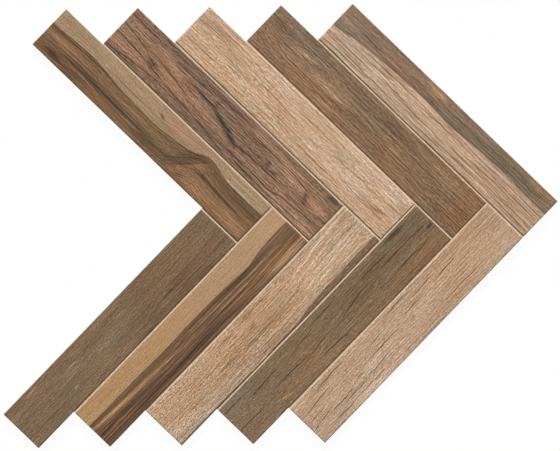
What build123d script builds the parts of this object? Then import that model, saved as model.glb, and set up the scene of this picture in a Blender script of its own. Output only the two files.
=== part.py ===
"""Herringbone sheet of wood-look porcelain planks, lying face up.

The upper planks run down to the right and the lower planks run up to the right.
Each upper plank and its lower plank make one arrow that points along +X, and the
arrows follow each other at one pitch.  Pale filler, hollowed by a round tool, lies
in the joints, and a glass fibre mesh is glued to the backs.
"""

import os
from math import sqrt

from build123d import *

# Driving dimensions, in millimetres
arrow_count = 5
plank_length = 298.0
plank_width = 51.0
plank_thickness = 9.0
edge_bevel = 0.8  # ground off all round the face
key_groove_count = 4  # grooves along the back, where the adhesive keys in
key_groove_width = 6.0
key_groove_depth = 0.5
joint_width = 2.0
joint_recess = 1.2  # from the faces down to the filler at its sides
joint_hollow = 0.3  # from there down to the filler's middle
mesh_thickness = 0.5
mesh_margin = 6.0  # from the sheet's straight sides and notches to the mesh

# The lay plane has its X along the upper planks and its Y along the lower ones.  Its
# origin is the corner of the first upper plank that lies against the first lower one.
pitch = plank_width + joint_width
last_step = (arrow_count - 1) * pitch
sheet_centre_x = (2 * last_step - joint_width - plank_length) / (2 * sqrt(2))
sheet_centre_y = (plank_width - joint_width) / (2 * sqrt(2))
lay = Plane(origin=(-sheet_centre_x, -sheet_centre_y, 0), x_dir=(1, -1, 0), z_dir=(0, 0, 1))
backs = lay.offset(mesh_thickness)

os.makedirs("parts", exist_ok=True)


def write_piece(piece, name):
    piece.label = name
    export_step(piece, f"parts/{name}.step")


def section_plane(start, along):
    """Upright plane across a plank or joint that starts at start on the plane of the backs."""
    return Plane(origin=backs.from_local_coords(start), x_dir=lay.z_dir.cross(along), z_dir=along)


def make_plank(name, corner, along):
    """One plank: its section stands at corner and runs along its length."""
    with BuildPart() as plank:
        with BuildSketch(section_plane(corner, along)):
            with Locations((plank_width / 2, 0)):
                Rectangle(plank_width, plank_thickness, align=(Align.CENTER, Align.MIN))
                with GridLocations(plank_width / key_groove_count, 0, key_groove_count, 1):
                    Rectangle(key_groove_width, 2 * key_groove_depth, mode=Mode.SUBTRACT)
        extrude(amount=plank_length)
        face = plank.faces().sort_by(Axis.Z)[-1]
        chamfer(face.edges(), length=edge_bevel)
    write_piece(plank.part, name)


# Upper planks, and lower planks with one end against the side of their upper plank
for arrow in range(arrow_count):
    step = arrow * pitch
    make_plank(f"upper_plank_{arrow + 1}", (step - plank_length, step, 0), lay.x_dir)
    make_plank(f"lower_plank_{arrow + 1}", (step, step - joint_width - plank_length, 0), lay.y_dir)

# Joints: one beside each upper plank and one between the lower planks, each by the start
# of its middle line, its direction and its length
joints = []
for arrow in range(arrow_count):
    step = arrow * pitch
    length = plank_length if arrow else plank_width
    joints.append(((step - length, step - joint_width / 2, 0), lay.x_dir, length))
for arrow in range(arrow_count - 1):
    step = arrow * pitch
    start = (step + joint_width / 2, step + plank_width - plank_length, 0)
    joints.append((start, lay.y_dir, plank_length))

# Joint filler: a round tool hollows each joint as far as the middle of the joint it runs into
filler_height = plank_thickness - joint_recess
tool_radius = (joint_width**2 / 4 + joint_hollow**2) / (2 * joint_hollow)
with BuildPart() as joint_filler:
    for start, along, length in joints:
        with BuildSketch(section_plane(start, along)):
            Rectangle(joint_width, filler_height, align=(Align.CENTER, Align.MIN))
        extrude(amount=length)
    for start, along, length in joints:
        with BuildSketch(section_plane(start, along)):
            with Locations((0, filler_height - joint_hollow + tool_radius)):
                Circle(tool_radius)
        extrude(amount=length + joint_width / 2, mode=Mode.SUBTRACT)
write_piece(joint_filler.part, "joint_filler")

# Backing mesh: an arrow with straight ends, cut across inside the notches between plank ends
mesh_top = plank_length - joint_width - sqrt(2) * mesh_margin
mesh_bottom = plank_width - plank_length + sqrt(2) * mesh_margin
mesh_left = mesh_margin - plank_width
mesh_right = last_step - mesh_margin
mesh_upper_side = last_step + plank_width - mesh_margin
with BuildPart() as backing_mesh:
    with BuildSketch(lay):
        with BuildLine():
            Polyline(
                (mesh_left, mesh_margin),
                (mesh_margin - mesh_top, mesh_margin),
                (mesh_upper_side - mesh_top, mesh_upper_side),
                (mesh_right, mesh_upper_side),
                (mesh_right, mesh_right + mesh_bottom),
                (mesh_left, mesh_left + mesh_bottom),
                close=True,
            )
        make_face()
    extrude(amount=mesh_thickness)
write_piece(backing_mesh.part, "backing_mesh")
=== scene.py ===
# Looks of a herringbone sheet: ten wood-print porcelain planks, joint filler and a glass fibre net
from math import pi, radians, sin, sqrt

import bmesh
import bpy
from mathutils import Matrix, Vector


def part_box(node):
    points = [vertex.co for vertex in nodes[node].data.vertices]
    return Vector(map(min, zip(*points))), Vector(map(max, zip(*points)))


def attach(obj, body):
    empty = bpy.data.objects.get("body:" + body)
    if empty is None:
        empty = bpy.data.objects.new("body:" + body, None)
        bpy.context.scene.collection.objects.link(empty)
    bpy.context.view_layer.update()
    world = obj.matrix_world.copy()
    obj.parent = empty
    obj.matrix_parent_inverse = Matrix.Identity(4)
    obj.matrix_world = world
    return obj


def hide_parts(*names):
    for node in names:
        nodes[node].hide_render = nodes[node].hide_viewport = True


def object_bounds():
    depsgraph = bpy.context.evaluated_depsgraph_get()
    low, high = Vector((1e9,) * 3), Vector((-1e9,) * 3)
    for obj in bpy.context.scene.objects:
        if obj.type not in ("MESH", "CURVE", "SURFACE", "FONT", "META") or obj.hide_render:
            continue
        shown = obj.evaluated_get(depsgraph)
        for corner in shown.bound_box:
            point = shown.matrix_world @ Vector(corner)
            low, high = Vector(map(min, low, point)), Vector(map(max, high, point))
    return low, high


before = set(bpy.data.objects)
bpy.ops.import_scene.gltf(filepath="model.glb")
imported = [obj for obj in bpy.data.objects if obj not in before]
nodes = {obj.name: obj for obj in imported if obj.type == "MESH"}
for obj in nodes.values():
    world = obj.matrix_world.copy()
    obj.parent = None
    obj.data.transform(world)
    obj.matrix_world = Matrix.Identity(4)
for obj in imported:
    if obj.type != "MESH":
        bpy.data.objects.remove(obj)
cadLow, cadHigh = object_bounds()
print("frame loaded:", len(nodes), "nodes")

mm = 0.001
slant = 1 / sqrt(2)
downRight = Vector((slant, -slant, 0))  # along the upper planks, from their free ends
upRight = Vector((slant, slant, 0))  # along the lower planks, from their free ends
up = Vector((0, 0, 1))


# Node helpers, for materials and for Geometry Nodes

def colour(red, green, blue):  # written as in a paint program, 0 to 255
    def linear(part):
        part = part / 255
        return part / 12.92 if part <= 0.04045 else ((part + 0.055) / 1.055) ** 2.4

    return (linear(red), linear(green), linear(blue), 1.0)


def put(tree, kind, **settings):
    node = tree.nodes.new(kind)
    for name, value in settings.items():
        setattr(node, name, value)
    return node


def pick(sockets, name):  # the one of that name that is in use
    return next(socket for socket in sockets if socket.name == name and socket.enabled)


def feed(tree, socket, source):
    if isinstance(source, bpy.types.NodeSocket):
        tree.links.new(source, socket)
    else:
        socket.default_value = source


def calc(tree, operation, *sources):
    node = put(tree, "ShaderNodeMath", operation=operation)
    for socket, source in zip(node.inputs, sources):
        feed(tree, socket, source)
    return node.outputs[0]


def ease(tree, value, start, end):  # 0 at start, 1 at end, smooth between
    node = put(tree, "ShaderNodeMapRange", interpolation_type="SMOOTHSTEP")
    for name, source in (("Value", value), ("From Min", start), ("From Max", end)):
        feed(tree, pick(node.inputs, name), source)
    return pick(node.outputs, "Result")


def blend(tree, amount, first, second, way="MIX"):
    node = put(tree, "ShaderNodeMix", data_type="RGBA", blend_type=way)
    for name, source in (("Factor", amount), ("A", first), ("B", second)):
        feed(tree, pick(node.inputs, name), source)
    return pick(node.outputs, "Result")


def sway(tree, value, pattern, amount):  # value, moved by a pattern that lies about 0.5
    return calc(tree, "MULTIPLY_ADD", calc(tree, "SUBTRACT", pattern, 0.5), amount, value)


def joinAxes(tree, x, y, z):
    node = put(tree, "ShaderNodeCombineXYZ")
    for socket, source in zip(node.inputs, (x, y, z)):
        feed(tree, socket, source)
    return node.outputs[0]


def splitAxes(tree, vector):
    node = put(tree, "ShaderNodeSeparateXYZ")
    feed(tree, node.inputs[0], vector)
    return node.outputs


def dot(tree, first, second):
    node = put(tree, "ShaderNodeVectorMath", operation="DOT_PRODUCT")
    feed(tree, node.inputs[0], first)
    feed(tree, node.inputs[1], second)
    return node.outputs["Value"]


def noise(tree, vector, scale=1.0, detail=2.0, roughness=0.55):
    node = put(tree, "ShaderNodeTexNoise")
    values = (("Vector", vector), ("Scale", scale), ("Detail", detail), ("Roughness", roughness))
    for name, source in values:
        feed(tree, node.inputs[name], source)
    return node.outputs[0]


def grainNoise(tree, along, across, size, seed, detail=2.0, roughness=0.55):  # size: mm along and across
    stretchedAlong = calc(tree, "DIVIDE", along, size[0])
    stretchedAcross = calc(tree, "DIVIDE", across, size[1])
    return noise(tree, joinAxes(tree, stretchedAlong, stretchedAcross, seed), 1.0, detail, roughness)


def toneRamp(tree, value, tones):
    ramp = put(tree, "ShaderNodeValToRGB")
    stops = ramp.color_ramp.elements
    while len(stops) < len(tones):
        stops.new(0.5)
    for index, tone in enumerate(tones):
        stops[index].position = index / (len(tones) - 1)
        stops[index].color = colour(*tone)
    feed(tree, ramp.inputs["Fac"], value)
    return ramp.outputs["Color"]


def newMaterial(name):
    material = bpy.data.materials.new(name)
    material.use_nodes = True
    tree = material.node_tree
    tree.nodes.clear()
    shader = put(tree, "ShaderNodeBsdfPrincipled")
    output = put(tree, "ShaderNodeOutputMaterial")
    tree.links.new(shader.outputs[0], output.inputs["Surface"])
    return material, tree, shader


def objectPlace(tree):
    return put(tree, "ShaderNodeTexCoord").outputs["Object"]


def pressIn(tree, shader, height, depth):  # relief too fine for the mesh
    bump = put(tree, "ShaderNodeBump")
    bump.inputs["Distance"].default_value = depth
    feed(tree, bump.inputs["Height"], height)
    feed(tree, shader.inputs["Normal"], bump.outputs[0])


def newTree(name, inputs):  # Geometry Nodes tree with named inputs
    tree = bpy.data.node_groups.new(name, "GeometryNodeTree")
    tree.interface.new_socket(name="Geometry", in_out="OUTPUT", socket_type="NodeSocketGeometry")
    for inputName, kind in (("Geometry", "Geometry"), *inputs):
        tree.interface.new_socket(name=inputName, in_out="INPUT", socket_type="NodeSocket" + kind)
    return tree, put(tree, "NodeGroupInput").outputs


def surface(tree, geometry, material, chosen=True):
    node = put(tree, "GeometryNodeSetMaterial")
    for name, source in (("Geometry", geometry), ("Material", material), ("Selection", chosen)):
        feed(tree, node.inputs[name], source)
    return node.outputs[0]


def endTree(tree, geometry, material, *others):  # others: a material and where it goes
    realized = put(tree, "GeometryNodeRealizeInstances")
    feed(tree, realized.inputs["Geometry"], geometry)
    finished = surface(tree, realized.outputs[0], material)
    for otherMaterial, chosen in others:
        finished = surface(tree, finished, otherMaterial, chosen)
    feed(tree, put(tree, "NodeGroupOutput").inputs["Geometry"], finished)


def newPiece(name, mesh):
    piece = bpy.data.objects.new(name, mesh)
    bpy.context.scene.collection.objects.link(piece)
    return piece


def grow(piece, tree, values):  # runs a tree on a piece and keeps the result as its plain mesh
    modifier = piece.modifiers.new(tree.name, "NODES")
    modifier.node_group = tree
    for item in tree.interface.items_tree:
        if item.in_out == "INPUT" and item.name in values:
            modifier[item.identifier] = values[item.name]
    graph = bpy.context.evaluated_depsgraph_get()
    mesh = bpy.data.meshes.new_from_object(piece.evaluated_get(graph))
    piece.modifiers.remove(modifier)
    piece.data = mesh


# Wood print on the planks.  Places are in mm: along the plank from its free end, across it
# from the side that lies uppermost on the sheet.

tints = {
    "warm": (1.14, 0.98, 0.82, 1.0),
    "red": (1.12, 0.96, 0.92, 1.0),
    "honey": (1.03, 1.0, 0.86, 1.0),
    "grey": (0.94, 1.0, 1.08, 1.0),
    "olive": (0.9, 1.0, 0.98, 1.0),
    "rose": (1.04, 0.98, 1.02, 1.0),
}
shadeTints = ((0.34, 0.2, 0.04, 1.0), (1.66, 1.8, 1.96, 1.0))  # darkest and palest

# What every plank has unless its own look says otherwise.  A pattern has its length, its width and
# how strongly it shows.
plainLook = dict(
    level=0.56,  # lightness before anything is added: 0 is the first tone, 1 the last
    wave=2.0,  # how far the grain wanders sideways
    curl=0.0,  # how far it curls within that
    broad=(110, 16, 0.32),
    streak=(70, 2.4, 0.12),
    fibre=(40, 1.0, 0.42),
    dash=(7, 1.0, 0.6),
    fine=1.0,  # how strongly the last two show
    speckle=0.9,  # how strongly the finest grains show
    speckleSize=(0.7, 0.55),
    crisp=(1.05, 0.35),  # how far off, in mm, and how much of the neighbours is taken away
    lines=(80, 2.5, 0.1),  # long, thin and dark, where a pattern crosses its middle
    threads=(50, 1.0, 0.24),  # dark
    glints=(40, 1.0, 0.16),  # pale
    pores=(5, 0.9, 0.15),  # short and dark
    sparks=(7, 1.0, 0.06),  # short and pale
    coarse=1.0,  # how strongly the last five show
    deepest=0.0,  # how dark all of these can make a spot: 0 is the darkest shade, 0.5 no change
    stretch=1.0,  # how long fibres, dashes, lines and marks are
    hue=(90, 16, 0.22),  # patches that are greyer or warmer
    flecks=(9, 2.4, 0.55),  # small ones, greener or redder
    edge=None,  # where sapwood and heartwood meet
    sapBelow=False,
    sapContrast=1.0,
    sapFine=1.0,  # share of the fine grain that shows in the sapwood
    rim=0.0,  # darkening of the heartwood beside that edge
    rimWidth=2.0,
    follow=0.0,  # how much the grain follows that edge
    strokes=(),  # along, across, half length, half width, change in lightness, slope if it has one
    cracks=(),  # along and across where it starts, and where it ends
    crack=(0.5, -0.5),  # half width, change in lightness
    jogs=(14, 30, 2.4),  # how cracks leave the straight line
    tinted=(),  # along, across, half length, half width, tint, strength
)

plankLooks = {
    "upper_plank_1": dict(
        slot="walnut_with_sapwood", seed=3,
        broad=(110, 12, 0.26), streak=(80, 2.6, 0.26), fine=1.2, coarse=0.6, stretch=0.9,
        speckle=0.6, sapFine=0.55,
        tones=((53, 38, 26), (93, 70, 47), (131, 101, 71), (173, 134, 97)), level=0.48,
        sapTones=((109, 84, 60), (147, 120, 91), (170, 143, 114), (201, 177, 150)),
        edge=((0, 19), (20, 18.4), (38, 17.2), (55, 16.5), (75, 17.8), (90, 19.8), (115, 21.6), (148, 22.4),
              (168, 20.8), (190, 18), (203, 14.4), (213, 9.6), (221, 7.8), (229, 9.4), (240, 12),
              (254, 13.8), (298, 14)),
        rim=0.36, rimWidth=1.6, follow=0.8,
        strokes=(
            (34, 28, 38, 3.6, 0.2), (95, 37, 64, 2.2, -0.3), (118, 28.5, 24, 2, 0.2),
            (52, 39, 16, 0.7, 0.45), (130, 40.5, 12, 0.8, 0.4), (22, 43, 9, 2.6, -0.4),
            (71, 46, 60, 3.0, 0.04), (150, 40, 22, 6, -0.18), (194, 31, 18, 8, -0.16, -1.0),
            (256, 20, 50, 6, -0.2, 0.06), (250, 38, 50, 10, 0.2), (228, 24, 14, 2.4, 0.2, 0.05),
            (226, 26.5, 9, 1.1, -0.4, 0.1), (252, 29.5, 28, 1.5, -0.45, 0.06), (10, 32, 9, 1.2, -0.35),
            (205, 43, 6, 2, -0.3, -0.4), (151, 11, 3.5, 1.5, -0.5, 0.3), (262, 12.5, 30, 1.3, 0.4),
            (190, 9, 22, 0.8, 0.25, -0.1), (90, 8, 60, 1.0, 0.18, 0.02), (26, 8, 34, 8, -0.12),
            (265, 6, 34, 1.2, 0.2, 0.03), (222, 6.6, 9, 0.8, 0.35), (60, 13, 26, 1.2, 0.1),
            (207, 30, 11, 3.4, 0.12, -1.1), (219, 20, 9, 3.2, 0.14, -0.3), (150, 31, 26, 4.5, 0.12),
            (284, 44, 18, 7, 0.2), (48, 44, 18, 5, -0.14), (165, 46, 18, 4, -0.1),
            (8, 22.5, 14, 2.6, -0.12), (240, 19, 30, 5, 0.14), (10, 31, 20, 5, 0.1),
            (165, 31, 24, 5, 0.08), (225, 44, 18, 5, 0.1), (165, 17, 18, 4, -0.1),
        ),
        cracks=((4, 21.5, 86, 18.4), (30, 33.5, 90, 33), (172, 47, 208, 17), (184, 48, 216, 15),
                (75, 14.5, 160, 15), (250, 11, 296, 12), (60, 36, 150, 38), (20, 30, 70, 29)),
        crack=(0.45, -0.5),
        tinted=((70, 45, 75, 5, "warm", 0.5), (40, 27, 40, 5, "warm", 0.4),
                (105, 35, 60, 6, "olive", 0.5), (250, 39, 55, 11, "red", 0.4),
                (30, 8, 60, 9, "honey", 0.4), (12, 46, 20, 5, "warm", 0.6),
                (178, 30, 22, 9, "olive", 0.7), (180, 9, 34, 5, "red", 0.7),
                (262, 11, 30, 4, "grey", 0.6), (230, 20, 26, 6, "warm", 0.4)),
    ),
    "upper_plank_2": dict(
        slot="dark_walnut", seed=8,
        wave=2.6, curl=0.4, broad=(90, 10, 0.34), streak=(50, 2.6, 0.2), fine=1.7, stretch=0.7,
        pores=(6, 0.9, 0.3), flecks=(9, 2.4, 0.8),
        tones=((51, 44, 38), (104, 81, 63), (151, 119, 94), (195, 159, 130)), level=0.53,
        strokes=(
            (52, 32, 8, 1.8, -0.3, 0.1), (122, 19.5, 10, 1.8, -0.36, 0.05), (130, 14, 3.4, 5, -0.2),
            (139, 22.5, 9, 2.4, -0.36, 0.33), (152, 27, 10, 2.6, -0.36, 0.33),
            (166, 32, 8, 2.8, -0.36, 0.45), (212, 24, 2.2, 4.4, -0.3, 0.3),
            (222, 26.5, 4.5, 1.6, -0.35, -0.3), (264, 21.5, 4, 4, -0.26, 0.9), (293, 27.8, 8, 1.4, -0.14),
            (71, 4, 78, 5, -0.14), (221, 4, 84, 5, -0.1), (287, 4, 6, 3, -0.3),
            (73, 20, 20, 4, 0.14, 0.25), (116, 31, 40, 5, 0.12), (238, 19, 22, 6, 0.2),
            (21, 41, 26, 3, 0.12), (282, 22, 14, 5, 0.24), (120, 46, 90, 5, -0.08),
            (250, 37, 20, 3, 0.14), (36, 12, 30, 4, 0.08), (165, 16, 50, 5, -0.12),
            (284, 45, 16, 6, 0.24), (75, 32, 18, 4, 0.16), (134, 6, 16, 5, -0.12), (190, 6, 18, 5, 0.12),
            (10, 24, 14, 10, 0.1), (254, 46, 16, 4, 0.12),
        ),
        cracks=((1, 19.5, 18, 21.5), (18, 21.5, 36, 25), (36, 25, 53, 32), (1, 31, 46, 34.5),
                (46, 34.5, 71, 38), (71, 38, 126, 42), (126, 42, 168, 48), (151, 43, 203, 41),
                (203, 41, 228, 42), (228, 42, 248, 38), (248, 38, 296, 34.5), (1, 49, 46, 43),
                (86, 17.5, 120, 18), (232, 12, 262, 15), (62, 26, 104, 31), (170, 32, 232, 30),
                (4, 8, 44, 9), (172, 12, 226, 13), (70, 12, 118, 11), (230, 46, 290, 44),
                (180, 46, 240, 45.5)),
        crack=(0.55, -0.6),
        tinted=((146, 24, 28, 7, "olive", 0.8), (60, 40, 70, 10, "red", 0.4), (70, 20, 30, 7, "red", 0.4),
                (255, 22, 40, 9, "red", 0.3), (10, 8, 20, 6, "red", 0.6), (215, 24, 14, 7, "olive", 0.4),
                (180, 6, 60, 6, "red", 0.4), (104, 19, 16, 6, "red", 0.8),
                (162, 46, 16, 5, "olive", 0.4)),
    ),
    "upper_plank_3": dict(
        slot="pale_oak", seed=21,
        wave=1.2, broad=(110, 18, 0.28), streak=(80, 2.4, 0.05), fine=1.1, coarse=0.5, stretch=0.8,
        hue=(60, 12, 0.4), flecks=(9, 2.4, 0.9),
        tones=((127, 88, 58), (171, 137, 106), (202, 172, 144), (233, 212, 192)), level=0.54,
        strokes=(
            (274, 32, 8, 1.6, -0.35, -0.15), (284, 29, 8, 1.0, -0.35, -0.1), (281, 36, 7, 1.0, -0.2),
            (246, 4, 56, 3, 0.12), (21, 12, 28, 2.5, -0.12), (180, 32.5, 7, 0.8, 0.25, -0.05),
            (274, 12.5, 10, 0.8, 0.4), (255, 27, 30, 2.0, 0.15), (228, 28, 26, 6, 0.08),
            (90, 46, 50, 6, -0.1), (25, 10, 30, 9, -0.08), (200, 30, 34, 14, 0.04),
            (45, 18, 24, 6, -0.12), (105, 5, 14, 5, 0.1), (70, 32, 40, 5, 0.1), (240, 33, 30, 5, 0.1),
        ),
        cracks=((64, 20.5, 138, 21.3), (0, 15, 44, 14), (194, 24, 248, 19), (120, 14, 210, 13.5),
                (40, 27, 110, 28), (150, 40, 230, 41), (10, 38, 80, 37), (255, 20, 297, 19),
                (20, 9, 60, 8.5), (90, 33, 150, 34), (215, 34, 270, 36)),
        crack=(0.45, -0.45),
        tinted=((250, 10, 60, 14, "grey", 0.5), (235, 30, 50, 9, "grey", 0.4),
                (90, 20, 40, 8, "warm", 0.25), (20, 32, 34, 7, "grey", 0.4)),
    ),
    "upper_plank_4": dict(
        slot="brown_oak", seed=34,
        wave=1.4, broad=(90, 18, 0.36), streak=(60, 2.6, 0.08), fine=1.55, coarse=0.55, stretch=0.8,
        sparks=(5, 1.0, 0.5), speckle=0.95,
        tones=((72, 53, 38), (114, 89, 66), (146, 117, 91), (200, 167, 133)), level=0.47,
        strokes=(
            (100, 27, 24, 5, 0.2), (52, 20.5, 14, 2.4, 0.24), (189, 28, 8, 2, 0.26),
            (60, 19, 12, 0.8, 0.4, -0.05), (105, 43, 10, 1.0, 0.3), (208, 41, 9, 0.9, 0.3),
            (150, 40, 60, 6, -0.04), (145, 20, 18, 1.2, -0.16), (40, 8, 40, 3, 0.06),
            (255, 8, 40, 3.4, 0.1), (16, 15, 16, 6, -0.14), (60, 38, 40, 5, 0.08),
            (160, 12, 60, 6, -0.16), (70, 31, 50, 5, 0.12), (280, 44, 24, 6, -0.14),
            (250, 30, 40, 6, -0.06), (190, 18, 30, 4, 0.04), (286, 30, 14, 8, -0.14),
            (145, 31, 30, 5, -0.14), (48, 5, 16, 5, -0.1), (230, 18, 50, 5, -0.06),
            (108, 30, 9, 0.8, 0.4), (45, 24, 10, 0.7, 0.4), (195, 45, 30, 4, 0.08),
        ),
        cracks=((40, 35, 110, 36), (100, 14, 150, 14), (200, 20, 270, 21), (10, 26, 60, 27),
                (150, 30, 230, 31), (120, 47, 190, 46), (60, 9, 110, 10), (240, 40, 290, 39)),
        crack=(0.45, -0.4),
        tinted=((70, 42, 80, 9, "warm", 0.35), (40, 8, 60, 12, "grey", 1.0),
                (286, 30, 16, 20, "warm", 0.9), (180, 42, 90, 9, "warm", 0.3),
                (255, 8, 46, 5, "honey", 0.8), (150, 10, 30, 6, "grey", 0.4),
                (210, 30, 40, 14, "honey", 0.6)),
    ),
    "upper_plank_5": dict(
        slot="pale_wood_brown_edge", seed=46,
        wave=1.0, broad=(110, 12, 0.2), streak=(80, 2.4, 0.12),
        threads=(50, 0.7, 0.2), glints=(34, 0.7, 0.26), pores=(30, 0.65, 0.7), deepest=0.18, speckle=0.75,
        tones=((59, 50, 42), (105, 87, 69), (136, 112, 89), (183, 148, 114)), level=0.57,
        sapTones=((97, 76, 58), (155, 128, 104), (194, 167, 141), (225, 205, 184)),
        edge=((0, 29.8), (14, 28.2), (26, 25.6), (44, 23.6), (70, 22), (95, 20.2), (120, 19.8), (146, 21),
              (166, 21.3), (184, 20), (205, 19), (222, 18), (246, 18.4), (298, 19)),
        sapBelow=True, rim=0.1, rimWidth=4.0, follow=0.2,
        strokes=(
            (228, 12, 72, 4, -0.18), (134, 6, 13, 4.0, 0.28), (66, 9, 40, 2.2, 0.14),
            (12, 20, 18, 5, 0.12, -0.1), (8, 10, 20, 8, 0.12), (282, 4, 18, 2.4, 0.2),
            (228, 17, 60, 1.0, 0.12), (85, 16, 40, 1.0, 0.18), (105, 31, 18, 4, 0.12),
            (110, 17.5, 40, 1.2, -0.16), (258, 40, 50, 10, -0.1), (150, 19, 60, 2, -0.16),
            (112, 4, 24, 4, 0.1), (195, 30, 18, 4, 0.1), (104, 15, 16, 4, -0.06), (75, 32, 16, 5, 0.12),
            (284, 31, 16, 5, -0.08),
        ),
        cracks=((0, 36, 60, 38), (40, 32, 110, 31), (20, 43, 110, 45), (90, 38, 160, 39),
                (120, 28, 190, 27), (150, 44, 220, 43), (190, 33, 250, 32), (230, 40, 290, 41),
                (200, 24, 290, 25), (0, 47, 60, 46), (10, 8, 50, 10), (20, 14, 70, 16), (60, 26, 120, 25),
                (0, 40, 40, 41), (170, 37, 230, 38), (250, 45, 296, 46), (110, 47, 180, 46),
                (70, 35, 120, 36), (220, 29, 280, 30)),
        crack=(0.4, -0.6),
        tinted=((228, 12, 75, 6, "olive", 0.9), (134, 6, 16, 5, "warm", 0.45),
                (14, 20, 30, 9, "grey", 1.0), (282, 4, 20, 4, "warm", 0.5), (75, 15, 34, 5, "red", 0.8),
                (235, 36, 80, 14, "warm", 0.3), (10, 6, 18, 6, "grey", 0.6)),
    ),
    "lower_plank_1": dict(
        slot="grey_brown_wood", seed=58,
        wave=1.6, broad=(80, 18, 0.4), streak=(50, 2.6, 0.06), fine=1.1, coarse=0.4, stretch=0.6,
        flecks=(9, 2.4, 0.9), speckle=0.65,
        tones=((64, 51, 34), (104, 84, 61), (129, 107, 82), (176, 153, 123)), level=0.5,
        strokes=(
            (37, 5, 7, 1.3, 0.28), (84, 19, 14, 4.5, 0.2, 0.1), (73, 35.5, 4, 1.8, 0.3),
            (160, 15, 8, 2.4, 0.2), (120, 28, 40, 8, 0.12), (258, 34, 50, 8, -0.18),
            (55, 44, 40, 4, -0.04), (150, 5, 24, 1.4, 0.18), (98, 9, 8, 2.0, 0.2, 0.2),
            (225, 46, 60, 7, -0.26), (280, 8, 24, 8, -0.12), (20, 22, 20, 6, -0.04), (30, 33, 14, 3, 0.1),
            (180, 32, 40, 6, -0.14), (10, 45, 20, 5, 0.14), (130, 44, 30, 5, 0.14), (100, 6, 40, 5, 0.08),
            (76, 24, 10, 0.7, 0.28), (90, 16, 9, 0.7, 0.28, 0.1), (105, 33, 40, 5, 0.1),
        ),
        cracks=((10, 38, 60, 39), (200, 20, 250, 20), (90, 46, 140, 46), (10, 15, 50, 14),
                (130, 11, 170, 8)),
        crack=(0.45, -0.4),
        tinted=((245, 34, 70, 12, "red", 0.9), (130, 26, 30, 8, "grey", 0.5),
                (60, 38, 60, 10, "grey", 0.3), (150, 40, 60, 8, "red", 0.3),
                (110, 12, 130, 14, "red", 0.45), (240, 14, 60, 14, "red", 0.3),
                (84, 19, 16, 6, "grey", 0.8), (73, 35.5, 5, 3, "grey", 1.0), (37, 5, 9, 3, "grey", 0.6),
                (20, 28, 34, 14, "rose", 0.7)),
    ),
    "lower_plank_2": dict(
        slot="honey_sapwood_dark_heart", seed=63,
        wave=1.2, broad=(150, 8, 0.28), streak=(110, 2.2, 0.28), fine=1.3, coarse=0.8, stretch=1.6,
        speckle=0.5, sapFine=0.3,
        tones=((52, 37, 26), (90, 67, 47), (128, 97, 69), (186, 144, 100)), level=0.45,
        sapTones=((126, 97, 64), (162, 129, 92), (185, 152, 113), (216, 186, 150)),
        edge=((0, 20), (25, 20.4), (70, 21), (115, 21.8), (146, 21.4), (195, 21.8), (216, 22.8), (236, 24),
              (246, 22.4), (258, 20.8), (298, 20.6)),
        rim=0.12, follow=0.5, sapContrast=0.7, hue=(120, 16, 0.15),
        strokes=(
            (20, 23, 44, 1.8, -0.2, 0.03), (22, 27.3, 34, 2.2, 0.42, 0.06),
            (78, 30.2, 46, 2.6, 0.36, 0.03), (126, 33, 30, 1.6, 0.26, 0.03), (150, 26.5, 34, 0.7, 0.34),
            (160, 29.5, 30, 0.7, 0.3), (203, 35, 26, 0.8, 0.36), (110, 42, 60, 5, -0.18, 0.03),
            (165, 44, 40, 5, -0.18), (40, 42.5, 40, 0.8, 0.3), (60, 45, 70, 6, -0.16),
            (252, 44, 46, 4, 0.2), (272, 34, 32, 3.4, 0.16), (230, 28, 60, 2.4, -0.08),
            (8, 36.5, 12, 1.4, -0.3), (70, 36, 54, 1.8, -0.26, 0.01), (190, 30, 44, 0.6, 0.35),
            (245, 31, 40, 0.7, 0.3), (274, 46, 34, 6, 0.3), (210, 41, 40, 0.6, 0.3),
            (232, 42.5, 10, 1.6, -0.24), (110, 40, 40, 0.6, 0.3), (260, 38, 34, 0.7, 0.3),
            (24, 39, 26, 0.8, 0.3, 0.02), (284, 14, 24, 16, 0.12), (40, 6, 50, 7, -0.08),
        ),
        cracks=((130, 25, 210, 25.5), (0, 33, 60, 35), (210, 33, 290, 34), (100, 47, 200, 46.5),
                (230, 42, 296, 41), (140, 37, 220, 38)),
        crack=(0.45, -0.4),
        tinted=((50, 10, 90, 14, "honey", 0.7), (255, 10, 70, 14, "grey", 0.6),
                (250, 10, 70, 14, "rose", 0.6), (60, 30, 70, 4, "honey", 0.7),
                (12, 44, 24, 6, "warm", 0.4), (90, 44, 110, 6, "warm", 0.6),
                (20, 24, 60, 2, "olive", 0.4)),
    ),
    "lower_plank_3": dict(
        slot="pale_wood_dark_edge", seed=77,
        wave=1.6, broad=(80, 16, 0.3), streak=(50, 2.4, 0.05), coarse=0.5, stretch=0.6,
        pores=(3, 1.1, 0.36), hue=(60, 12, 0.3), flecks=(9, 2.4, 0.9), speckle=0.95,
        tones=((103, 74, 51), (157, 127, 98), (191, 162, 134), (229, 209, 189)), level=0.55,
        sapTones=((84, 62, 47), (112, 86, 66), (128, 101, 78), (148, 120, 96)),
        edge=((0, 48.8), (30, 48.4), (60, 49), (100, 49.8), (140, 49.8), (162, 49), (182, 47.6),
              (202, 46.2), (222, 45), (245, 44.4), (298, 44.4)),
        sapBelow=True, follow=0.3,
        strokes=(
            (145, 5, 10, 3.0, -0.2), (168, 6.5, 8, 3.4, -0.2), (141, 18.5, 4.5, 1.6, -0.28, -0.3),
            (101, 37, 15, 0.9, -0.3), (250, 24, 52, 1.0, 0.2, -0.03), (222, 11, 30, 1.2, 0.24, -0.12),
            (232, 35.5, 42, 1.2, 0.26, -0.06), (271, 40, 40, 1.0, 0.22), (14, 36, 20, 5, 0.14),
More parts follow.
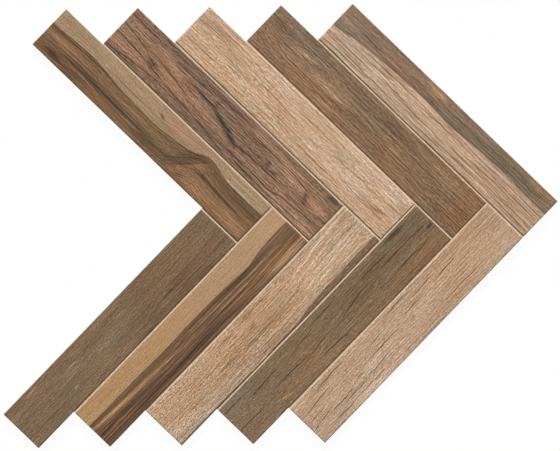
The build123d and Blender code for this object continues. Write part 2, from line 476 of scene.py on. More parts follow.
            (232, 17, 40, 0.8, 0.22, -0.12), (250, 29, 44, 0.7, 0.2, -0.05), (110, 8, 9, 1.2, -0.3),
            (205, 24, 8, 1.4, -0.25, -0.1), (262, 6, 30, 1.2, 0.22, -0.06), (240, 20, 50, 16, 0.06),
            (150, 22, 50, 9, -0.12), (270, 32, 34, 7, 0.1), (50, 46, 50, 1.2, -0.12),
            (150, 45, 34, 5, -0.18), (165, 5, 40, 6, -0.1), (60, 6, 34, 5, 0.06), (120, 31, 60, 5, -0.12),
            (30, 47, 34, 2, 0.1),
        ),
        cracks=((0, 26, 40, 27), (40, 13, 80, 13.5), (20, 33, 70, 32), (60, 20, 110, 20),
                (180, 40, 230, 36), (90, 27, 150, 28), (250, 20, 297, 19), (100, 40, 160, 41),
                (8, 8, 50, 8.5), (160, 13, 210, 12)),
        crack=(0.45, -0.3),
        tinted=((14, 38, 40, 8, "grey", 1.0), (60, 47, 60, 3, "grey", 0.9), (260, 14, 40, 8, "grey", 0.3),
                (120, 14, 130, 16, "warm", 0.35), (100, 22, 110, 16, "honey", 0.3),
                (100, 44, 90, 5, "grey", 0.4)),
    ),
    "lower_plank_4": dict(
        slot="umber_wood", seed=85,
        curl=0.4, broad=(80, 18, 0.3), streak=(45, 2.6, 0.05), fine=1.05, coarse=0.35,
        stretch=0.6, flecks=(9, 2.4, 0.7), speckle=0.85,
        tones=((49, 41, 30), (103, 83, 61), (132, 109, 83), (179, 152, 121)), level=0.53,
        strokes=(
            (203, 12, 14, 2, -0.14), (262, 4, 20, 2.6, -0.38, 0.04), (293, 25, 5, 1.6, -0.4),
            (278, 42, 30, 8, 0.04), (60, 41, 9, 1.4, 0.3, 0.25), (105, 22, 6, 3, 0.16, 0.5),
            (205, 30, 10, 0.9, 0.26, -0.4), (198, 13, 3, 3, 0.24, 0.4), (195, 36, 14, 0.9, 0.22, 0.2),
            (120, 34, 12, 1.0, 0.2, -0.2), (120, 30, 16, 0.9, 0.24, -0.15), (222, 30, 16, 2, 0.1),
            (14, 18, 30, 14, 0.1), (212, 22, 52, 15, -0.18), (150, 10, 40, 5, 0.02),
            (288, 8, 12, 5, -0.1), (270, 46, 30, 4, -0.08), (20, 47, 24, 3, 0.1), (120, 45, 30, 5, 0.1),
        ),
        cracks=((103, 14, 136, 10), (136, 7.5, 168, 7), (110, 30, 134, 26.5), (161, 26.5, 196, 21),
                (228, 19.5, 262, 18.8), (262, 18.8, 290, 20), (1, 31.5, 38, 32.7), (212, 12, 240, 12.5),
                (34, 15, 70, 13.5), (60, 27, 100, 27.6), (120, 40, 160, 41), (240, 33, 284, 34),
                (0, 8, 26, 8)),
        crack=(0.5, -0.75),
        tinted=((264, 4, 26, 5, "olive", 1.0), (265, 40, 50, 10, "warm", 0.9),
                (120, 38, 60, 10, "warm", 0.4), (16, 10, 30, 12, "grey", 1.0),
                (70, 18, 60, 12, "red", 0.4), (215, 18, 56, 9, "warm", 0.55),
                (190, 6, 40, 5, "red", 0.5)),
    ),
    "lower_plank_5": dict(
        slot="tan_wood", seed=92,
        wave=1.4, broad=(100, 18, 0.2), streak=(80, 2.4, 0.04), fine=0.95, coarse=0.3, speckle=0.75,
        tones=((95, 74, 54), (155, 126, 99), (189, 161, 134), (223, 201, 179)), level=0.565,
        strokes=(
            (46, 5, 30, 0.6, -0.25), (256, 45, 30, 1.2, 0.15, -0.02), (92, 29.5, 34, 4, 0.16, -0.03),
            (30, 24, 34, 6, 0.02), (78, 46, 34, 6, 0.22), (140, 33, 30, 5, 0.1), (220, 6, 80, 8, -0.12),
            (215, 46, 52, 6, -0.12), (20, 16, 30, 7, -0.06), (284, 18, 16, 7, -0.1),
        ),
        cracks=((0, 35, 11, 32.5), (11, 32.5, 28, 31), (32, 34, 64, 32), (70, 28.6, 84, 28),
                (88, 35.5, 113, 33), (11, 17, 43, 13), (103, 15, 121, 14), (158, 17.5, 180, 17.5),
                (138, 4, 168, 3.6), (46, 37, 78, 36.5), (206, 15.5, 236, 13), (20, 7, 70, 5),
                (60, 42, 110, 43), (170, 11, 205, 9.5), (190, 38, 250, 38), (100, 24, 136, 23),
                (0, 26, 26, 25), (20, 43, 60, 43)),
        crack=(0.45, -0.7),
        tinted=((26, 34, 60, 14, "grey", 0.25), (240, 20, 60, 20, "warm", 0.3),
                (90, 30, 40, 6, "grey", 0.5), (200, 8, 40, 8, "warm", 0.3), (12, 20, 24, 8, "warm", 0.3)),
    ),
}

porcelain = dict(
    body=((160, 143, 124), (178, 161, 141), (192, 176, 157)),
    bodyGrain=900.0,
    glazeEdge=(150, 128, 106),
    glazeDepth=0.7,  # mm of the sides, below the face
    kilnWash=(226, 222, 214),
    washScale=45.0,
    washShare=0.7,
    roughness=0.55,
    gloss=0.3,
    poreDepth=0.01 * mm,
)

strokeFade = (1.6, 0.3)  # half widths from its middle: where a stroke starts to show, where it is full


# A stroke lies along the grain: a slanting ellipse with frayed edges
def makeStrokeGroup():
    group = bpy.data.node_groups.new("grainStroke", "ShaderNodeTree")
    names = ("Along", "Across", "Fray", "At Along", "At Across", "Half Length", "Half Width", "Slope")
    for name in names:
        group.interface.new_socket(name=name, in_out="INPUT", socket_type="NodeSocketFloat")
    group.interface.new_socket(name="Mask", in_out="OUTPUT", socket_type="NodeSocketFloat")
    given = put(group, "NodeGroupInput").outputs
    offset = calc(group, "SUBTRACT", given["Along"], given["At Along"])
    share = calc(group, "DIVIDE", offset, given["Half Length"])
    shareSquared = calc(group, "MULTIPLY", share, share)
    spine = calc(group, "MULTIPLY_ADD", offset, given["Slope"], given["At Across"])
    side = calc(group, "DIVIDE", calc(group, "SUBTRACT", given["Across"], spine), given["Half Width"])
    radius = calc(group, "SQRT", calc(group, "MULTIPLY_ADD", side, side, shareSquared))
    mask = ease(group, calc(group, "ADD", radius, given["Fray"]), *strokeFade)
    feed(group, put(group, "NodeGroupOutput").inputs["Mask"], mask)
    return group


strokeGroup = makeStrokeGroup()


def stroke(tree, place, at, size, slope=0.0):
    node = put(tree, "ShaderNodeGroup", node_tree=strokeGroup)
    values = (place["along"], place["across"], place["fray"], *at, *size, slope)
    for socket, value in zip(node.inputs, values):
        feed(tree, socket, value)
    return node.outputs["Mask"]


def plankLie(node, direction, sideways):  # where a plank lies and how large it is, in metres
    alongs = [vertex.co.dot(direction) for vertex in node.data.vertices]
    acrosses = [vertex.co.dot(sideways) for vertex in node.data.vertices]
    low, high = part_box(node.name)
    return dict(
        direction=direction, sideways=sideways, freeEnd=min(alongs), upperSide=min(acrosses),
        length=max(alongs) - min(alongs), width=max(acrosses) - min(acrosses), low=low[2], high=high[2],
    )


def plankPlace(tree, lie):  # mm along the plank, across it and above the floor
    mapping = put(tree, "ShaderNodeMapping", vector_type="POINT")
    feed(tree, mapping.inputs["Vector"], objectPlace(tree))
    turn = radians(45) if lie["direction"] == upRight else radians(-45)
    mapping.inputs["Scale"].default_value = (1 / mm, -1 / mm, 1 / mm)
    mapping.inputs["Rotation"].default_value = (0, 0, turn)
    mapping.inputs["Location"].default_value = (-lie["freeEnd"] / mm, -lie["upperSide"] / mm, 0)
    return splitAxes(tree, mapping.outputs[0])


wander = dict(wide=(80, 18), narrow=(16, 6))  # patterns that move the grain sideways


def wandering(tree, along, straight, wave, curl, seed):  # the grain's own way across the plank
    wide = grainNoise(tree, along, straight, wander["wide"], seed, 0.0)
    narrow = grainNoise(tree, along, straight, wander["narrow"], seed, 0.0)
    return sway(tree, sway(tree, straight, wide, wave), narrow, curl)


def edgeCurve(tree, along, points, length, width):
    node = put(tree, "ShaderNodeFloatCurve")
    curve = node.mapping.curves[0]
    while len(curve.points) < len(points):
        curve.points.new(0.5, 0.5)
    for point, (pointAlong, pointAcross) in zip(curve.points, points):
        point.location = (pointAlong / length, pointAcross / width)
    node.mapping.update()
    feed(tree, node.inputs["Value"], calc(tree, "DIVIDE", along, length))
    return calc(tree, "MULTIPLY", node.outputs[0], width)


def bareBody(tree, height, facing, faceHeight):  # unglazed sides, and kiln wash on the back
    place = objectPlace(tree)
    body = toneRamp(tree, noise(tree, place, porcelain["bodyGrain"], 3.0), porcelain["body"])
    glaze = porcelain["glazeDepth"]
    glazed = ease(tree, height, faceHeight - glaze, faceHeight - glaze / 2)
    body = blend(tree, glazed, body, colour(*porcelain["glazeEdge"]))
    smear = ease(tree, noise(tree, place, porcelain["washScale"], 4.0, 0.65), 0.46, 0.62)
    back = ease(tree, facing, -0.3, -0.6)
    washed = calc(tree, "MULTIPLY", calc(tree, "MULTIPLY", smear, back), porcelain["washShare"])
    return blend(tree, washed, body, colour(*porcelain["kilnWash"]))


def grainSize(look, name):  # mm along and across
    length, width = look[name][:2]
    return length * look["stretch"], width


def fineGrain(tree, along, across, look, seed):  # fibres and dashes on top of each other
    total = 0.0
    for name, change in (("fibre", 0.5), ("dash", 0.6)):
        layer = grainNoise(tree, along, across, grainSize(look, name), seed + change, 0.0)
        total = sway(tree, total, layer, look[name][2] * look["fine"])
    return total


def crispGrain(tree, along, across, look, seed):  # with less of what it shares with its neighbours
    step, share = look["crisp"]
    middle = fineGrain(tree, along, across, look, seed)
    above = fineGrain(tree, along, calc(tree, "SUBTRACT", across, step), look, seed)
    below = fineGrain(tree, along, calc(tree, "ADD", across, step), look, seed)
    return calc(tree, "MULTIPLY_ADD", calc(tree, "ADD", above, below), -share, middle)


def shade(tree, face, factor, strength=1.0):  # darker below 0.5, paler above
    return blend(tree, strength, face, blend(tree, factor, *shadeTints), "MULTIPLY")


def woodPrint(nodeName, lie):
    look = {**plainLook, **plankLooks[nodeName]}
    material, tree, shader = newMaterial(nodeName + "_print")
    along, straight, height = plankPlace(tree, lie)
    seed = look["seed"]
    across = wandering(tree, along, straight, look["wave"], look["curl"], seed + 0.1)
    grain = across
    edge = None
    if look["edge"]:
        edge = edgeCurve(tree, along, look["edge"], lie["length"] / mm, lie["width"] / mm)
        grain = calc(tree, "SUBTRACT", across, calc(tree, "MULTIPLY", edge, look["follow"]))

    # Lightness from bands and streaks
    broad = grainNoise(tree, along, grain, look["broad"], seed + 0.3, 1.0)
    streak = grainNoise(tree, along, grain, look["streak"], seed + 0.4, 1.0)
    light = sway(tree, look["level"], broad, look["broad"][2])
    light = sway(tree, light, streak, look["streak"][2])
    fibre = grainNoise(tree, along, grain, grainSize(look, "fibre"), seed + 0.5, 0.0)

    # Fine grain: fibres and dashes, lines where a stretched pattern crosses its middle, marks
    fine = crispGrain(tree, along, grain, look, seed)
    pattern = grainNoise(tree, along, grain, grainSize(look, "lines"), seed + 0.9, 1.0)
    crossing = calc(tree, "ABSOLUTE", calc(tree, "SUBTRACT", pattern, 0.5))
    change = -look["lines"][2] * look["coarse"]
    fine = calc(tree, "MULTIPLY_ADD", ease(tree, crossing, 0.045, 0.0), change, fine)
    marks = (("threads", 2.1, 0.54, 0.7, -1), ("glints", 2.3, 0.54, 0.7, 1), ("pores", 1.1, 0.62, 0.75, -1),
             ("sparks", 1.3, 0.62, 0.75, 1))
    for name, shift, start, end, sign in marks:
        pattern = grainNoise(tree, along, grain, grainSize(look, name), seed + shift, 0.0)
        change = sign * look[name][2] * look["coarse"]
        fine = calc(tree, "MULTIPLY_ADD", ease(tree, pattern, start, end), change, fine)

    # Strokes, listed one by one for each plank
    fray = calc(tree, "MULTIPLY", calc(tree, "SUBTRACT", streak, 0.5), 1.4)
    fray = sway(tree, fray, fibre, 1.4)
    place = dict(along=along, across=across, fray=fray)
    for strokeAlong, strokeAcross, halfLength, halfWidth, change, *slope in look["strokes"]:
        mask = stroke(tree, place, (strokeAlong, strokeAcross), (halfLength, halfWidth), *slope)
        light = calc(tree, "MULTIPLY_ADD", mask, change, light)
    jog = grainNoise(tree, along, across, look["jogs"], seed + 2.5, 1.0)
    place = dict(along=along, across=sway(tree, across, jog, look["jogs"][2]),
                 fray=calc(tree, "MULTIPLY", fray, 0.4))
    halfWidth, change = look["crack"]
    for startAlong, startAcross, endAlong, endAcross in look["cracks"]:
        middle = ((startAlong + endAlong) / 2, (startAcross + endAcross) / 2)
        slope = (endAcross - startAcross) / (endAlong - startAlong)
        mask = stroke(tree, place, middle, ((endAlong - startAlong) / 2, halfWidth), slope)
        light = calc(tree, "MULTIPLY_ADD", mask, change, light)

    # Colour, with sapwood on one side of the edge
    if edge:
        depth = calc(tree, "SUBTRACT", straight, edge)
        if look["sapBelow"]:
            depth = calc(tree, "MULTIPLY", depth, -1.0)
        depth = calc(tree, "ADD", depth, fray)
        rim = calc(tree, "MULTIPLY", ease(tree, depth, look["rimWidth"], 0.0), -look["rim"])
        heart = toneRamp(tree, calc(tree, "ADD", light, rim), look["tones"])
        sapLight = calc(tree, "SUBTRACT", light, look["level"])
        sapLight = calc(tree, "MULTIPLY_ADD", sapLight, look["sapContrast"], look["level"])
        sap = toneRamp(tree, sapLight, look["sapTones"])
        inHeart = ease(tree, depth, -0.5, 0.5)
        face = blend(tree, inHeart, sap, heart)
        shown = calc(tree, "MULTIPLY_ADD", inHeart, 1 - look["sapFine"], look["sapFine"])
        fine = calc(tree, "MULTIPLY", fine, shown)
    else:
        face = toneRamp(tree, light, look["tones"])
    hue = grainNoise(tree, along, grain, look["hue"], seed + 1.5, 1.0)
    fleck = grainNoise(tree, along, grain, look["flecks"], seed + 1.7, 2.0, 0.7)
    shifts = ((hue, "hue", "grey", 0.5, 0.3), (hue, "hue", "warm", 0.5, 0.7),
              (fleck, "flecks", "olive", 0.5, 0.25), (fleck, "flecks", "red", 0.5, 0.75))
    for pattern, name, tint, start, end in shifts:
        patch = calc(tree, "MULTIPLY", ease(tree, pattern, start, end), look[name][2])
        face = blend(tree, patch, face, tints[tint], "MULTIPLY")
    place = dict(along=along, across=across, fray=fray)
    for tintAlong, tintAcross, halfLength, halfWidth, tint, strength in look["tinted"]:
        mask = stroke(tree, place, (tintAlong, tintAcross), (halfLength, halfWidth))
        face = blend(tree, calc(tree, "MULTIPLY", mask, strength), face, tints[tint], "MULTIPLY")
    speckle = grainNoise(tree, along, grain, look["speckleSize"], seed + 0.7, 0.0)
    fine = calc(tree, "MAXIMUM", calc(tree, "ADD", fine, 0.5), look["deepest"])
    face = shade(tree, face, fine)
    face = shade(tree, face, ease(tree, speckle, 0.2, 0.8), look["speckle"])

    # Print on the face and its ground edge, bare body elsewhere
    facing = splitAxes(tree, put(tree, "ShaderNodeNewGeometry").outputs["Normal"])["Z"]
    bare = bareBody(tree, height, facing, lie["high"] / mm)
    feed(tree, shader.inputs["Base Color"], blend(tree, ease(tree, facing, 0.2, 0.5), bare, face))
    rough = calc(tree, "MULTIPLY_ADD", calc(tree, "SUBTRACT", 0.5, speckle), 0.3, porcelain["roughness"])
    feed(tree, shader.inputs["Roughness"], rough)
    shader.inputs["Specular IOR Level"].default_value = porcelain["gloss"]
    pressIn(tree, shader, speckle, porcelain["poreDepth"])
    return material


# Plank bodies: ground edge, keyed back, and the grain pressed into the face

plankForm = dict(
    bevel=0.8,  # mm, as on the solids
    backGrooves=4,
    grooveWidth=6.0,
    grooveDepth=0.5,
    stepAlong=1.6,
    stepAcross=0.45,
    fibreLength=34.0,
    fibreWidth=1.5,
    fibreShare=0.8,  # of the depth
    swellSize=(60, 11),
    swellShare=0.5,
    reliefDepth=0.012,
    plainBorder=0.6,  # from the sides to where the relief starts
    reliefMargin=1.0,  # from there to full depth
)


def plankSection(width, thickness):  # across and height, once round, face first
    bevel = plankForm["bevel"] * mm
    steps = round((width - 2 * bevel) / (plankForm["stepAcross"] * mm))
    section = [(bevel + (width - 2 * bevel) * step / steps, thickness) for step in range(steps + 1)]
    section += [(width, thickness - bevel), (width, 0)]
    reach = plankForm["grooveWidth"] * mm / 2
    deep = plankForm["grooveDepth"] * mm
    for groove in reversed(range(plankForm["backGrooves"])):
        middle = width * (groove + 0.5) / plankForm["backGrooves"]
        section += [(middle + reach, 0), (middle + reach, deep)]
        section += [(middle - reach, deep), (middle - reach, 0)]
    return section + [(0, 0), (0, thickness - bevel)]


def plankMesh(name, lie):
    bevel = plankForm["bevel"] * mm
    length, thickness = lie["length"], lie["high"] - lie["low"]
    section = plankSection(lie["width"], thickness)
    steps = round((length - 2 * bevel) / (plankForm["stepAlong"] * mm))
    stations = [bevel + (length - 2 * bevel) * step / steps for step in range(steps + 1)]
    corner = lie["direction"] * lie["freeEnd"] + lie["sideways"] * lie["upperSide"] + up * lie["low"]
    vertices = []
    for station in (0, *stations, length):
        top = thickness - bevel if station in (0, length) else thickness
        start = corner + lie["direction"] * station
        vertices += [start + lie["sideways"] * across + up * min(height, top) for across, height in section]
    count = len(section)
    rings = len(stations) + 2
    faces = [list(range(count))[::-1], [(rings - 1) * count + point for point in range(count)]]
    for ring in range(rings - 1):
        for point in range(count):
            here, after = ring * count + point, ring * count + (point + 1) % count
            faces.append((here, after, after + count, here + count))
    mesh = bpy.data.meshes.new(name)
    mesh.from_pydata(vertices, [], faces)
    return mesh


def makeReliefTree():
    tree, given = newTree("grainRelief", (
        ("Along", "Vector"), ("Across", "Vector"), ("Free End", "Float"), ("Upper Side", "Float"),
        ("Length", "Float"), ("Width", "Float"), ("Face Height", "Float"), ("Fibre Length", "Float"),
        ("Fibre Width", "Float"), ("Wave", "Float"), ("Curl", "Float"), ("Depth", "Float"),
        ("Margin", "Float"), ("Seed", "Float"), ("Material", "Material"),
    ))
    position = put(tree, "GeometryNodeInputPosition").outputs[0]
    along = calc(tree, "SUBTRACT", dot(tree, position, given["Along"]), given["Free End"])
    along = calc(tree, "DIVIDE", along, mm)
    side = calc(tree, "SUBTRACT", dot(tree, position, given["Across"]), given["Upper Side"])
    side = calc(tree, "DIVIDE", side, mm)
    seed = given["Seed"]
    across = wandering(tree, along, side, given["Wave"], given["Curl"], calc(tree, "ADD", seed, 0.1))
    size = (given["Fibre Length"], given["Fibre Width"])
    fibre = grainNoise(tree, along, across, size, calc(tree, "ADD", seed, 0.5), 2.0, 0.6)
    swell = grainNoise(tree, along, across, plankForm["swellSize"], calc(tree, "ADD", seed, 0.3))
    groove = calc(tree, "MULTIPLY", ease(tree, fibre, 0.56, 0.34), plankForm["fibreShare"])
    hollow = calc(tree, "MULTIPLY_ADD", ease(tree, swell, 0.7, 0.3), plankForm["swellShare"], groove)

    # No relief at the borders, and none on the sides and the back
    ends = calc(tree, "MINIMUM", along, calc(tree, "SUBTRACT", given["Length"], along))
    sides = calc(tree, "MINIMUM", side, calc(tree, "SUBTRACT", given["Width"], side))
    border = plankForm["plainBorder"]
    full = calc(tree, "ADD", given["Margin"], border)
    inside = ease(tree, calc(tree, "MINIMUM", ends, sides), border, full)
    drop = calc(tree, "MULTIPLY", calc(tree, "MULTIPLY", hollow, inside), given["Depth"])
    onFace = put(tree, "FunctionNodeCompare", operation="GREATER_THAN")
    feed(tree, pick(onFace.inputs, "A"), splitAxes(tree, position)["Z"])
    feed(tree, pick(onFace.inputs, "B"), calc(tree, "SUBTRACT", given["Face Height"], 0.01 * mm))
    pressed = put(tree, "GeometryNodeSetPosition")
    feed(tree, pressed.inputs["Geometry"], given["Geometry"])
    feed(tree, pressed.inputs["Selection"], onFace.outputs["Result"])
    feed(tree, pressed.inputs["Offset"], joinAxes(tree, 0.0, 0.0, calc(tree, "MULTIPLY", drop, -mm)))
    endTree(tree, pressed.outputs[0], given["Material"])
    return tree


reliefTree = makeReliefTree()


def makePlank(nodeName, direction, sideways):
    lie = plankLie(nodes[nodeName], direction, sideways)
    look = {**plainLook, **plankLooks[nodeName]}
    plank = newPiece(nodeName + "_grained", plankMesh(nodeName + "_grained", lie))
    grow(plank, reliefTree, {
        "Along": direction, "Across": sideways, "Free End": lie["freeEnd"], "Upper Side": lie["upperSide"],
        "Length": lie["length"] / mm, "Width": lie["width"] / mm, "Face Height": lie["high"],
        "Fibre Length": plankForm["fibreLength"], "Fibre Width": plankForm["fibreWidth"],
        "Wave": look["wave"], "Curl": look["curl"], "Depth": plankForm["reliefDepth"],
        "Margin": plankForm["reliefMargin"], "Seed": float(look["seed"]),
        "Material": woodPrint(nodeName, lie),
    })
    plank.data.shade_smooth()
    plank.data.set_sharp_from_angle(angle=radians(25))
    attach(plank, "root")
    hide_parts(nodeName)


for nodeName in plankLooks:
    isUpper = nodeName.startswith("upper")
    makePlank(nodeName, downRight if isUpper else upRight, -upRight if isUpper else downRight)
print("planks printed and pressed:", len(plankLooks))


# Joint filler: pale, sandy

filler = dict(
    tones=((178, 156, 131), (203, 181, 156), (222, 202, 179)),
    grainScale=700.0,
    stainScale=40.0,
    stain=(196, 176, 152),
    reliefDepth=0.15 * mm,
)


def fillerFinish():
    material, tree, shader = newMaterial("sandy_filler")
    place = objectPlace(tree)
    sand = noise(tree, place, filler["grainScale"], 3.0, 0.7)
    stained = ease(tree, noise(tree, place, filler["stainScale"], 3.0), 0.45, 0.65)
    sandy = toneRamp(tree, ease(tree, sand, 0.25, 0.75), filler["tones"])
    mottled = blend(tree, calc(tree, "MULTIPLY", stained, 0.5), sandy, colour(*filler["stain"]))
    feed(tree, shader.inputs["Base Color"], mottled)
    feed(tree, shader.inputs["Roughness"], calc(tree, "MULTIPLY_ADD", sand, 0.2, 0.75))
    pressIn(tree, shader, sand, filler["reliefDepth"])
    return material


nodes["joint_filler"].data.materials.clear()
nodes["joint_filler"].data.materials.append(fillerFinish())
print("joint filler done")


# Glass fibre net on the back: flat threads woven over and under, with dabs of glue

net = dict(
    pitch=5.0 * mm,
    threadWidth=0.9 * mm,
    threadThickness=0.2 * mm,
    lift=0.13 * mm,  # above and below the middle, where threads cross
    threadSides=6,
    strandScale=2600.0,
    strandDepth=0.04 * mm,
    reach=0.62,  # sides of the square that is cut to the sheet
    gluedShare=0.3,
    glueRadius=1.5 * mm,
    glueHeight=0.2 * mm,
    glueSides=7,
    glueRings=4,
    glueScale=900.0,  # of its cloudiness
    seed=11,
    threadTones=((196, 198, 196), (226, 228, 226), (242, 243, 241)),
    glueTones=((206, 200, 184), (232, 228, 216)),
)


def threadFinish():
    material, tree, shader = newMaterial("glass_fibre")
    strands = noise(tree, objectPlace(tree), net["strandScale"], 2.0, 0.7)
    tone = toneRamp(tree, ease(tree, strands, 0.3, 0.7), net["threadTones"])
    feed(tree, shader.inputs["Base Color"], tone)
    feed(tree, shader.inputs["Roughness"], calc(tree, "MULTIPLY_ADD", strands, -0.3, 0.6))
    pressIn(tree, shader, strands, net["strandDepth"])
    return material


def glueFinish():
    material, tree, shader = newMaterial("dried_glue")
    cloud = noise(tree, objectPlace(tree), net["glueScale"], 3.0)
    tone = toneRamp(tree, ease(tree, cloud, 0.3, 0.7), net["glueTones"])
    feed(tree, shader.inputs["Base Color"], tone)
    feed(tree, shader.inputs["Roughness"], calc(tree, "MULTIPLY_ADD", cloud, 0.3, 0.2))
    return material


def makeNetTree():
    tree, given = newTree("fibreNet", (
        ("Pitch", "Float"), ("Thread Width", "Float"), ("Thread Thickness", "Float"), ("Middle", "Float"),
        ("Lift", "Float"), ("Reach", "Float"), ("Glued Share", "Float"), ("Glue Radius", "Float"),
        ("Glue Height", "Float"), ("Seed", "Int"), ("Thread", "Material"), ("Glue", "Material"),
    ))

    # Crossings that lie over the sheet, in rows along the planks
    perSide = calc(tree, "ROUND", calc(tree, "DIVIDE", given["Reach"], given["Pitch"]))
    span = calc(tree, "MULTIPLY", perSide, given["Pitch"])
    grid = put(tree, "GeometryNodeMeshGrid")
    for name, source in (("Size X", span), ("Size Y", span)):
        feed(tree, grid.inputs[name], source)
    for name in ("Vertices X", "Vertices Y"):
        feed(tree, grid.inputs[name], calc(tree, "ADD", perSide, 1.0))
    turned = put(tree, "GeometryNodeTransform")
    feed(tree, turned.inputs["Geometry"], grid.outputs["Mesh"])
    turned.inputs["Rotation"].default_value = (0, 0, radians(45))
    overSheet = put(tree, "GeometryNodeRaycast")
    feed(tree, overSheet.inputs["Target Geometry"], given["Geometry"])
    position = put(tree, "GeometryNodeInputPosition").outputs[0]
    placeX, placeY, _ = splitAxes(tree, position)
    feed(tree, overSheet.inputs["Source Position"], joinAxes(tree, placeX, placeY, -1.0))
    overSheet.inputs["Ray Direction"].default_value = up
    outside = put(tree, "FunctionNodeBooleanMath", operation="NOT")
    feed(tree, outside.inputs[0], overSheet.outputs["Is Hit"])
    crossings = put(tree, "GeometryNodeDeleteGeometry")
    feed(tree, crossings.inputs["Geometry"], turned.outputs[0])
    feed(tree, crossings.inputs["Selection"], outside.outputs[0])

    # Every second crossing is over, the others under
    row = calc(tree, "ROUND", calc(tree, "DIVIDE", dot(tree, position, upRight), given["Pitch"]))
    column = calc(tree, "ROUND", calc(tree, "DIVIDE", dot(tree, position, downRight), given["Pitch"]))
    odd = calc(tree, "PINGPONG", calc(tree, "ADD", row, column), 1.0)
    over = calc(tree, "MULTIPLY_ADD", odd, 2.0, -1.0)
    profile = put(tree, "GeometryNodeCurvePrimitiveCircle")
    profile.inputs["Resolution"].default_value = net["threadSides"]
    profile.inputs["Radius"].default_value = 0.5
    flat = put(tree, "GeometryNodeTransform")
    feed(tree, flat.inputs["Geometry"], profile.outputs["Curve"])
    feed(tree, flat.inputs["Scale"], joinAxes(tree, given["Thread Width"], given["Thread Thickness"], 1.0))
    ends = put(tree, "GeometryNodeInputMeshEdgeVertices").outputs
    run = put(tree, "ShaderNodeVectorMath", operation="SUBTRACT")
    feed(tree, run.inputs[0], ends["Position 2"])
    feed(tree, run.inputs[1], ends["Position 1"])
    together = put(tree, "GeometryNodeJoinGeometry")
    for heading, side in ((upRight, 1.0), (downRight, -1.0)):
        isRun = put(tree, "FunctionNodeCompare", operation="GREATER_THAN")
        length = calc(tree, "ABSOLUTE", dot(tree, run.outputs[0], heading))
        feed(tree, pick(isRun.inputs, "A"), length)
        feed(tree, pick(isRun.inputs, "B"), calc(tree, "MULTIPLY", given["Pitch"], 0.5))
        threads = put(tree, "GeometryNodeMeshToCurve")
        feed(tree, threads.inputs["Mesh"], crossings.outputs[0])
        feed(tree, threads.inputs["Selection"], isRun.outputs[0])
        woven = put(tree, "GeometryNodeSetPosition")
        feed(tree, woven.inputs["Geometry"], threads.outputs[0])
        rise = calc(tree, "MULTIPLY", calc(tree, "MULTIPLY", over, given["Lift"]), side)
        rise = calc(tree, "ADD", rise, given["Middle"])
        feed(tree, woven.inputs["Offset"], joinAxes(tree, 0.0, 0.0, rise))
        level = put(tree, "GeometryNodeSetCurveNormal", mode="Z_UP")
        feed(tree, level.inputs["Curve"], woven.outputs[0])
        tubes = put(tree, "GeometryNodeCurveToMesh")
        feed(tree, tubes.inputs["Curve"], level.outputs[0])
        feed(tree, tubes.inputs["Profile Curve"], flat.outputs[0])
        tubes.inputs["Fill Caps"].default_value = True
        feed(tree, together.inputs[0], tubes.outputs[0])

    # Glue on some of the crossings
    chance = put(tree, "FunctionNodeRandomValue", data_type="FLOAT")
    feed(tree, pick(chance.inputs, "Seed"), given["Seed"])
    glued = put(tree, "FunctionNodeCompare", operation="LESS_THAN")
    feed(tree, pick(glued.inputs, "A"), pick(chance.outputs, "Value"))
    feed(tree, pick(glued.inputs, "B"), given["Glued Share"])
    dab = put(tree, "GeometryNodeMeshUVSphere")
    dab.inputs["Segments"].default_value = net["glueSides"]
    dab.inputs["Rings"].default_value = net["glueRings"]
    dab.inputs["Radius"].default_value = 1.0
    marked = put(tree, "GeometryNodeCaptureAttribute", domain="FACE")
    marked.capture_items.new("BOOLEAN", "Glue")
    feed(tree, marked.inputs["Geometry"], dab.outputs["Mesh"])
    marked.inputs["Glue"].default_value = True
    dabs = put(tree, "GeometryNodeInstanceOnPoints")
    feed(tree, dabs.inputs["Points"], crossings.outputs[0])
    feed(tree, dabs.inputs["Selection"], glued.outputs[0])
    feed(tree, dabs.inputs["Instance"], marked.outputs["Geometry"])
    spread = put(tree, "FunctionNodeRandomValue", data_type="FLOAT")
    feed(tree, pick(spread.inputs, "Seed"), calc(tree, "ADD", given["Seed"], 1.0))
    feed(tree, pick(spread.inputs, "Min"), calc(tree, "MULTIPLY", given["Glue Radius"], 0.6))
    feed(tree, pick(spread.inputs, "Max"), given["Glue Radius"])
    width = pick(spread.outputs, "Value")
    feed(tree, dabs.inputs["Scale"], joinAxes(tree, width, width, given["Glue Height"]))
    lifted = put(tree, "GeometryNodeTransform")
    feed(tree, lifted.inputs["Geometry"], dabs.outputs[0])
    feed(tree, lifted.inputs["Translation"], joinAxes(tree, 0.0, 0.0, given["Middle"]))
    feed(tree, together.inputs[0], lifted.outputs[0])
    endTree(tree, together.outputs[0], given["Thread"], (given["Glue"], marked.outputs["Glue"]))
    return tree


def makeNet():
    merged = bmesh.new()
    merged.from_mesh(nodes["backing_mesh"].data)
    bmesh.ops.remove_doubles(merged, verts=merged.verts, dist=0.001 * mm)
    mesh = bpy.data.meshes.new("fibre_net")
    merged.to_mesh(mesh)
    merged.free()
    fibreNet = newPiece("fibre_net", mesh)
    low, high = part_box("backing_mesh")
    grow(fibreNet, makeNetTree(), {
        "Pitch": net["pitch"], "Thread Width": net["threadWidth"],
        "Thread Thickness": net["threadThickness"], "Middle": (low[2] + high[2]) / 2,
        "Lift": net["lift"], "Reach": net["reach"], "Glued Share": net["gluedShare"],
        "Glue Radius": net["glueRadius"], "Glue Height": net["glueHeight"],
        "Seed": net["seed"], "Thread": threadFinish(), "Glue": glueFinish(),
    })
    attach(fibreNet, "root")
    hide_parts("backing_mesh")
    return fibreNet


fibreNet = makeNet()
print("fibre net woven:", len(fibreNet.data.polygons), "faces")


# Stage: white floor that keeps the shadow, light from the sheet's upper side

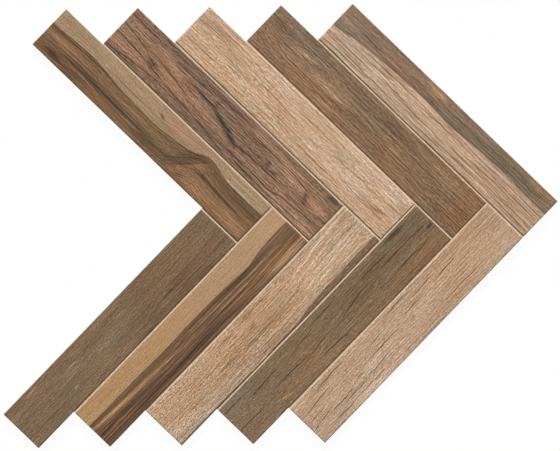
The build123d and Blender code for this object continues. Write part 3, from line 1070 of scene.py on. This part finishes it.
stage = dict(
    floorSize=8.0,
    floorColour=(0.9, 0.9, 0.9, 1),
    floorGlow=0.96,  # share of the floor that is plain white to the camera
    floorDrop=0.2 * mm,  # below the sheet
    keyShare=0.78,  # share of the light on the faces that comes from the key lamp
    keyHeight=35.0,
    keySpread=9.0,
)


def seenDirectly(tree):
    path = put(tree, "ShaderNodeLightPath").outputs
    seen = calc(tree, "MAXIMUM", path["Is Camera Ray"], path["Is Glossy Ray"])
    return calc(tree, "MAXIMUM", seen, path["Is Transmission Ray"])


def makeFloor():
    reach = stage["floorSize"] / 2
    mesh = bpy.data.meshes.new("floor")
    corners = ((-reach, -reach), (reach, -reach), (reach, reach), (-reach, reach))
    mesh.from_pydata([(x, y, -stage["floorDrop"]) for x, y in corners], [], [(0, 1, 2, 3)])
    material = bpy.data.materials.new("white_floor")
    material.use_nodes = True
    tree = material.node_tree
    tree.nodes.clear()
    matt = put(tree, "ShaderNodeBsdfDiffuse")
    matt.inputs["Color"].default_value = stage["floorColour"]
    glow = put(tree, "ShaderNodeEmission")
    mix = put(tree, "ShaderNodeMixShader")
    feed(tree, mix.inputs[0], calc(tree, "MULTIPLY", seenDirectly(tree), stage["floorGlow"]))
    feed(tree, mix.inputs[1], matt.outputs[0])
    feed(tree, mix.inputs[2], glow.outputs[0])
    feed(tree, put(tree, "ShaderNodeOutputMaterial").inputs["Surface"], mix.outputs[0])
    mesh.materials.append(material)
    newPiece("floor", mesh)


def makeLight():
    world = bpy.data.worlds.new("studio")
    bpy.context.scene.world = world
    world.use_nodes = True
    tree = world.node_tree
    tree.nodes.clear()
    sky = put(tree, "ShaderNodeBackground")
    sky.inputs["Color"].default_value = (1, 1, 1, 1)
    fill = 1 - stage["keyShare"]
    feed(tree, sky.inputs["Strength"], calc(tree, "MULTIPLY_ADD", seenDirectly(tree), 1 - fill, fill))
    feed(tree, put(tree, "ShaderNodeOutputWorld").inputs["Surface"], sky.outputs[0])

    lamp = bpy.data.lights.new("key", "SUN")
    lamp.angle = radians(stage["keySpread"])
    lamp.energy = stage["keyShare"] * pi / sin(radians(stage["keyHeight"]))
    key = newPiece("key", lamp)
    key.rotation_euler = (radians(stage["keyHeight"] - 90), 0, 0)


makeFloor()
makeLight()
print("stage lit")


# Camera: straight above, as the sheet was pictured

camera = dict(
    imageWidth=560,  # pixels
    focalPixels=1800,
    sensor=36,
    distance=1883.1 * mm,  # above the faces
    roll=-1.066,
    aim=(1.0 * mm, -1.14 * mm),
)


def makeCamera():
    lens = bpy.data.cameras.new("camera")
    lens.sensor_width = camera["sensor"]
    lens.lens = camera["focalPixels"] / camera["imageWidth"] * camera["sensor"]
    lens.clip_end = 50
    eye = newPiece("camera", lens)
    eye.location = (*camera["aim"], cadHigh.z + camera["distance"])
    eye.rotation_euler = (0, 0, radians(camera["roll"]))
    bpy.context.scene.camera = eye


makeCamera()
bpy.context.scene.view_settings.view_transform = "Standard"
print("camera set")
